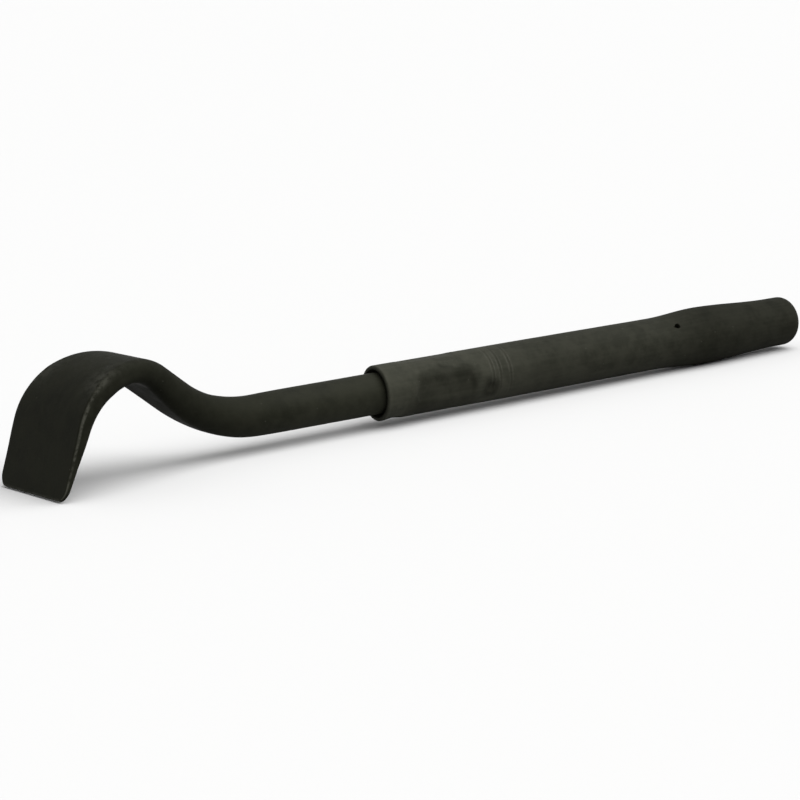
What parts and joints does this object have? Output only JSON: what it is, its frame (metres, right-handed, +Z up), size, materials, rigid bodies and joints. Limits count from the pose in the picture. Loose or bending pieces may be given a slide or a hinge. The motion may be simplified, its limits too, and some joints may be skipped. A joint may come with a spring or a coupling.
{
  "type": "tyre lever",
  "caption": "Steel tyre lever: forged round bar swept up and over into a wide hooked spoon blade, with a crimped tube handle that swells near its rounded end.",
  "frame": {"origin": "centre of the lever's box at ground level, the lever standing on its blade's tip and its handle's swell", "axes": "+X from the blade to the handle's end, +Y across the blade, +Z up, away from the ground and towards the top of the hook"},
  "size_m": [0.5436, 0.0702, 0.0662],
  "materials": {
    "forged_bar": "matte, blackened forging with a worn edge on the blade",
    "handle_tube": "matte, blackened tube",
    "end_plug": "matte, blackened turned plug"
  },
  "bodies": {
    "root": {"lever_bar": "forged_bar", "handle_tube": "handle_tube", "end_plug": "end_plug"}
  },
  "joints": []
}
